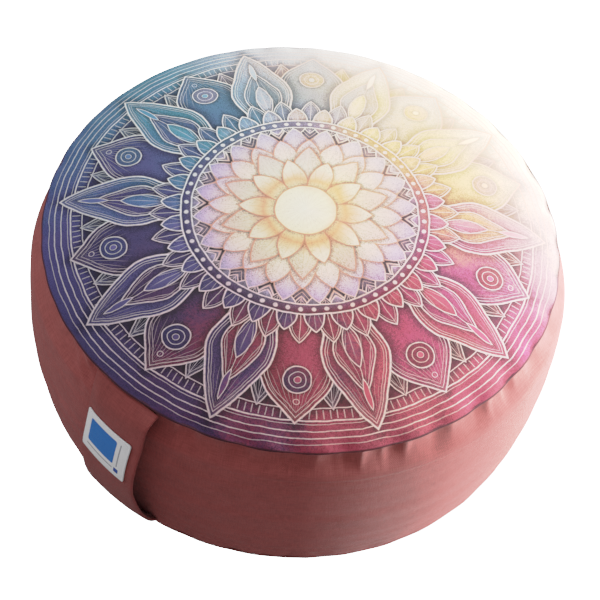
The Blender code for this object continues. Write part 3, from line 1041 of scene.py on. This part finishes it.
def label_cloth():
    """White satin-woven tape with a plain blue field and thin rules."""
    n = Nodes("label_weave")
    uv = n.split(n.uv())
    # millimetres from the label's middle
    x = n.times(n.less(uv[0], 0.5), 1000 * LABEL_WIDTH)
    y = n.times(n.less(uv[1], 0.5), 1000 * LABEL_HEIGHT)
    weft = n.math("SINE", n.times(y, 2 * math.pi / 0.42))
    warp = n.math("SINE", n.times(x, 2 * math.pi / 0.34))
    weave = n.scaled(warp, 0.25, n.times(weft, 0.5))
    fuzz = n.noise(n.point(x, y), 2.2, 3.0, 0.6)
    ragged = n.scaled(fuzz, 0.35, -0.17)

    def box(cx, cy, hx, hy, round_by):
        """1 inside a rounded block about (cx, cy), with half sizes hx and hy."""
        dx = n.less(n.size(n.less(x, cx)), hx - round_by)
        dy = n.less(n.size(n.less(y, cy)), hy - round_by)
        far = n.vector("LENGTH", n.point(n.greater(dx, 0.0), n.greater(dy, 0.0)))
        edge = n.less(far, round_by)
        return n.ease(n.plus(edge, ragged), 0.12, -0.12)

    field = box(-2.6, 2.4, 12.4, 9.6, 1.6)
    rule = n.greater(box(-2.6, -10.4, 12.4, 0.5, 0.4), box(13.2, 2.4, 0.5, 9.6, 0.4))
    square = box(13.2, -10.6, 2.0, 1.8, 0.5)
    white = n.mix(n.ease(fuzz, 0.3, 0.75), (240, 238, 241), (252, 251, 252))
    uneven_blue = n.ease(n.scaled(weave, 0.3, fuzz), 0.2, 0.8)
    blue = n.mix(uneven_blue, (26, 84, 178), (50, 120, 214))
    colour = n.mix(field, white, blue)
    colour = n.mix(n.times(rule, 0.8), colour, (112, 112, 128))
    colour = n.mix(square, colour, (44, 70, 150))
    n.bump(n.plus(weave, fuzz), 0.00012, 0.7)
    return n.finish(colour, n.ease(fuzz, 0.2, 0.8, 0.55, 0.72), 0.05)


# ---- the pieces
ROSE = (147, 71, 69)
# the strap is the same cotton as the side; its darker rose is painted shade
SHADED_STRAP_ROSE = (129, 60, 58)

side = build_side()
side.data.materials.append(cotton("side_cotton", ROSE, 2200.0, 2000.0, 0.0))
top = build_top()
top.data.materials.append(printed_cotton())
base = build_base()
base.data.materials.append(cotton("base_cotton_woven", ROSE, 700.0, 700.0, 3.0))
strap = build_strap()
strap.data.materials.append(cotton("strap_cotton_woven", SHADED_STRAP_ROSE, 2000.0, 2000.0, 7.0))
label = build_label()
label.data.materials.append(label_cloth())

for piece, node, slot in (
    (side, "cushion_body", "rose_cotton"),
    (top, "top_panel", "printed_cloth"),
    (base, "bottom_panel", "base_cotton"),
    (strap, "carry_strap", "strap_cotton"),
    (label, "label", "label_tape"),
):
    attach(piece, "root")
    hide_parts(node)


# ---- the stage, the light and the camera
FLOOR_HALF = 8.0
FLOOR_SHADE = 0.16
# how bright the floor and the backdrop are where the camera sees them
FLOOR_SEEN = 9.0
BACKDROP_SEEN = 12.0
AMBIENT = 0.605

# scene light and how bright it shows, up to the light that shows as white
FILM = ((0.17, 0.17), (0.60, 0.44), (0.975, 0.638), (1.6, 0.765), (2.34, 0.847), (3.1, 0.905))
FILM_WHITE = 4.0
FILM_END = 0.955

# the photograph's camera: its angles, its distance in seam radii, where it aims in seam radii
# beside and above the seam's middle, and how many of the picture's points one seam radius spans
CAMERA_TILT = math.radians(50.536)
CAMERA_ROLL = math.radians(7.732)
CAMERA_DISTANCE = 4.808
CAMERA_AIM = (0.022, -0.286)
SEAM_SPAN = 257.562
PICTURE_WIDTH = 600.0
FILM_WIDTH = 36.0


def build_floor():
    """A wide pale floor. Seen directly it is close to white; its light on the cushion stays soft."""
    mesh = bpy.data.meshes.new("studio_floor")
    corners = [(x * FLOOR_HALF, y * FLOOR_HALF, 0) for x, y in ((-1, -1), (1, -1), (1, 1), (-1, 1))]
    mesh.from_pydata(corners, [], [(0, 1, 2, 3)])
    floor = placed("studio_floor", mesh)
    n = Nodes("pale_floor")
    n.shade("Base Color", (FLOOR_SHADE, FLOOR_SHADE, FLOOR_SHADE, 1.0))
    n.shade("Roughness", 0.9)
    n.shade("Specular IOR Level", 0.1)
    n.shade("Emission Color", (1.0, 1.0, 1.0, 1.0))
    seen = n.new("ShaderNodeLightPath").outputs["Is Camera Ray"]
    n.shade("Emission Strength", n.times(seen, FLOOR_SEEN))
    floor.data.materials.append(n.material)


def area_light(name, place, look_at, size, power, colour):
    """A wide soft light at a place, turned to what it looks at."""
    data = bpy.data.lights.new(name, "AREA")
    data.shape = "RECTANGLE"
    data.size, data.size_y = size
    data.energy = power
    data.color = colour
    light = placed(name, data)
    light.location = place
    direction = Vector(look_at) - Vector(place)
    light.rotation_mode = "QUATERNION"
    light.rotation_quaternion = direction.to_track_quat("-Z", "Y")


def picture_place(right, back, up):
    """A place given as the picture sees it: to the right, to the back and up, in metres."""
    c, s = math.cos(VIEW_TURN), math.sin(VIEW_TURN)
    return (c * right - s * back, s * right + c * back, up)


def build_camera():
    """The photograph's camera, fitted to the round top seam."""
    distance, focal = CAMERA_DISTANCE * SEAM_RADIUS, SEAM_SPAN * CAMERA_DISTANCE
    aim_right, aim_up = CAMERA_AIM[0] * SEAM_RADIUS, CAMERA_AIM[1] * SEAM_RADIUS
    place = distance * Vector((0.0, -math.cos(CAMERA_TILT), math.sin(CAMERA_TILT)))
    ahead = -place.normalized()
    level = Vector((1.0, 0.0, 0.0))
    ahead = (aim_right * level + aim_up * level.cross(ahead) - place).normalized()
    right = ahead.cross(Vector((0.0, 0.0, 1.0))).normalized()
    up = right.cross(ahead)
    c, s = math.cos(CAMERA_ROLL), math.sin(CAMERA_ROLL)
    right, up = c * right + s * up, c * up - s * right
    turn = Matrix.Rotation(VIEW_TURN, 3, "Z")
    axes = [turn @ v for v in (right, up, -ahead)]
    data = bpy.data.cameras.new("camera")
    data.sensor_width = FILM_WIDTH
    data.lens = focal / PICTURE_WIDTH * FILM_WIDTH
    data.clip_start = 0.02
    camera = placed("camera", data)
    matrix = Matrix(axes).transposed().to_4x4()
    matrix.translation = turn @ place + Vector((0.0, 0.0, SEAM_HEIGHT))
    camera.matrix_world = matrix
    bpy.context.scene.camera = camera


def build_world():
    """Even light all round, and a white backdrop where the camera sees past the floor."""
    world = bpy.data.worlds.new("studio")
    world.use_nodes = True
    tree = world.node_tree
    back = tree.nodes["Background"]
    back.inputs["Color"].default_value = (1.0, 1.0, 1.0, 1.0)
    path = tree.nodes.new("ShaderNodeLightPath")
    level = tree.nodes.new("ShaderNodeMapRange")
    level.inputs["To Min"].default_value = AMBIENT
    level.inputs["To Max"].default_value = BACKDROP_SEEN
    tree.links.new(path.outputs["Is Camera Ray"], level.inputs["Value"])
    tree.links.new(level.outputs[0], back.inputs["Strength"])
    bpy.context.scene.world = world


def film_tone():
    """A soft shoulder on each channel, so that strong light fades to white as it does in a photograph."""
    view = bpy.context.scene.view_settings
    view.view_transform = "Standard"
    view.use_curve_mapping = True
    tone = view.curve_mapping
    tone.white_level = (FILM_WHITE, FILM_WHITE, FILM_WHITE)
    tone.extend = "EXTRAPOLATED"
    curve = tone.curves[3]
    curve.points[0].location = (0.0, 0.0)
    curve.points[1].location = (1.0, FILM_END)
    for scene_light, shown in FILM:
        curve.points.new(scene_light / FILM_WHITE, shown)
    for point in curve.points:
        point.handle_type = "AUTO_CLAMPED"
    tone.update()


# name, where it stands, what it looks at, its size, its power and its colour
LIGHTS = (
    ("window", (1.0, 0.29, 0.21), (0.0, 0.0, 0.09), (0.80, 0.36), 122.0, (1.0, 0.985, 0.96)),
    ("fill", (-1.4, 0.2, 0.8), (0.0, 0.0, 0.08), (1.1, 1.1), 11.5, (0.97, 0.98, 1.0)),
    ("back", (0.5, 0.6, 0.5), (0.08, 0.06, 0.16), (0.45, 0.45), 17.0, (1.0, 0.975, 0.93)),
)

build_floor()
for name, place, look_at, size, power, colour in LIGHTS:
    area_light(name, picture_place(*place), picture_place(*look_at), size, power, colour)
build_world()
film_tone()
build_camera()
